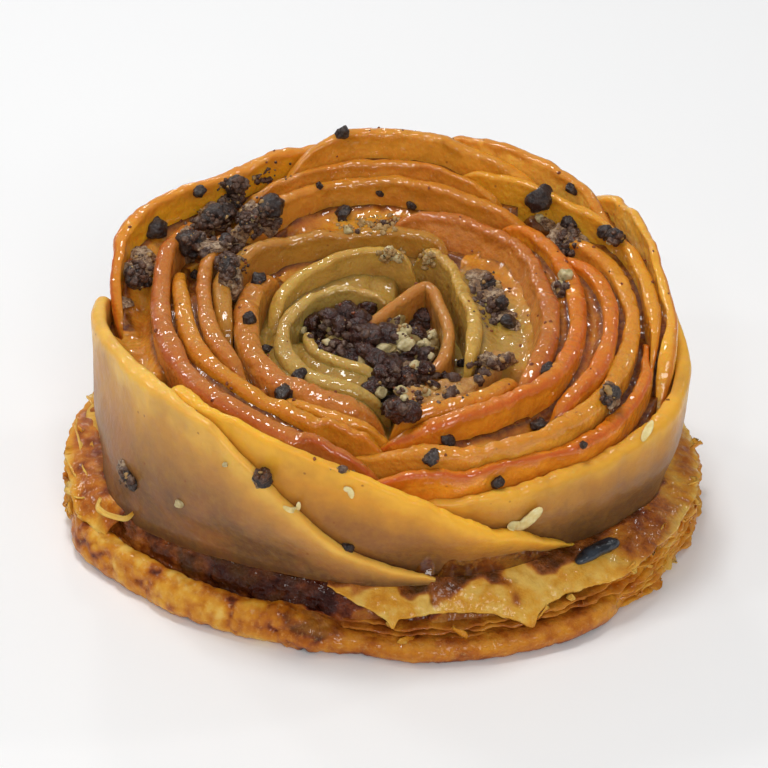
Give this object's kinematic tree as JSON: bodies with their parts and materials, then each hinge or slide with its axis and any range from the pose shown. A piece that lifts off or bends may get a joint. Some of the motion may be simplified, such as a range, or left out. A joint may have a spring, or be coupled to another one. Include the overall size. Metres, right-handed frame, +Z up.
{
  "type": "apple tart",
  "caption": "Apple rose tart: thin glazed apple slices wound upright into a rose on a flaky puff pastry disc, with dark crumbs.",
  "frame": {"origin": "middle of the underside of the pastry, on the surface that the tart stands on", "axes": "+Z up out of the rose, +X towards the right of the tart as pictured, -Y towards its front, where the low wrap opens"},
  "size_m": [0.1012, 0.0882, 0.0465],
  "materials": {
    "pastry": "baked puff pastry, flaky, golden to brown",
    "apple": "baked apple flesh with a clear glaze",
    "apple_skin": "baked apple with its red skin along the rim, glazed",
    "apple_pale": "pale baked apple flesh, satin with glaze",
    "crumb": "dark toasted crumbs, rough",
    "filling": "baked crumbs in a pale cream, rough",
    "fruit": "dark dried fruit, shiny"
  },
  "bodies": {
    "root": {"pastry_base": "pastry", "apple_slice_01": "apple_pale", "apple_slice_02": "apple_pale", "apple_slice_03": "apple_pale", "apple_slice_04": "apple_skin", "apple_slice_05": "apple_skin", "apple_slice_06": "apple_skin", "apple_slice_07": "apple", "apple_slice_08": "apple", "apple_slice_09": "apple", "apple_slice_10": "apple_skin", "apple_slice_11": "apple_skin", "apple_slice_12": "apple", "apple_slice_13": "apple_skin", "apple_slice_14": "apple", "apple_slice_15": "apple_skin", "apple_slice_16": "apple", "apple_slice_17": "apple_skin", "apple_slice_18": "apple_skin", "apple_slice_19": "apple", "apple_slice_20": "apple_skin", "apple_slice_21": "apple_pale", "apple_slice_22": "apple", "apple_slice_23": "apple", "apple_slice_24": "apple_pale", "apple_slice_25": "apple_pale", "apple_slice_26": "apple_pale", "apple_slice_27": "apple", "crumb_heap": "crumb", "cream_bed_front": "filling", "crumb_bed_right": "crumb", "dried_fruit": "fruit"}
  },
  "joints": []
}
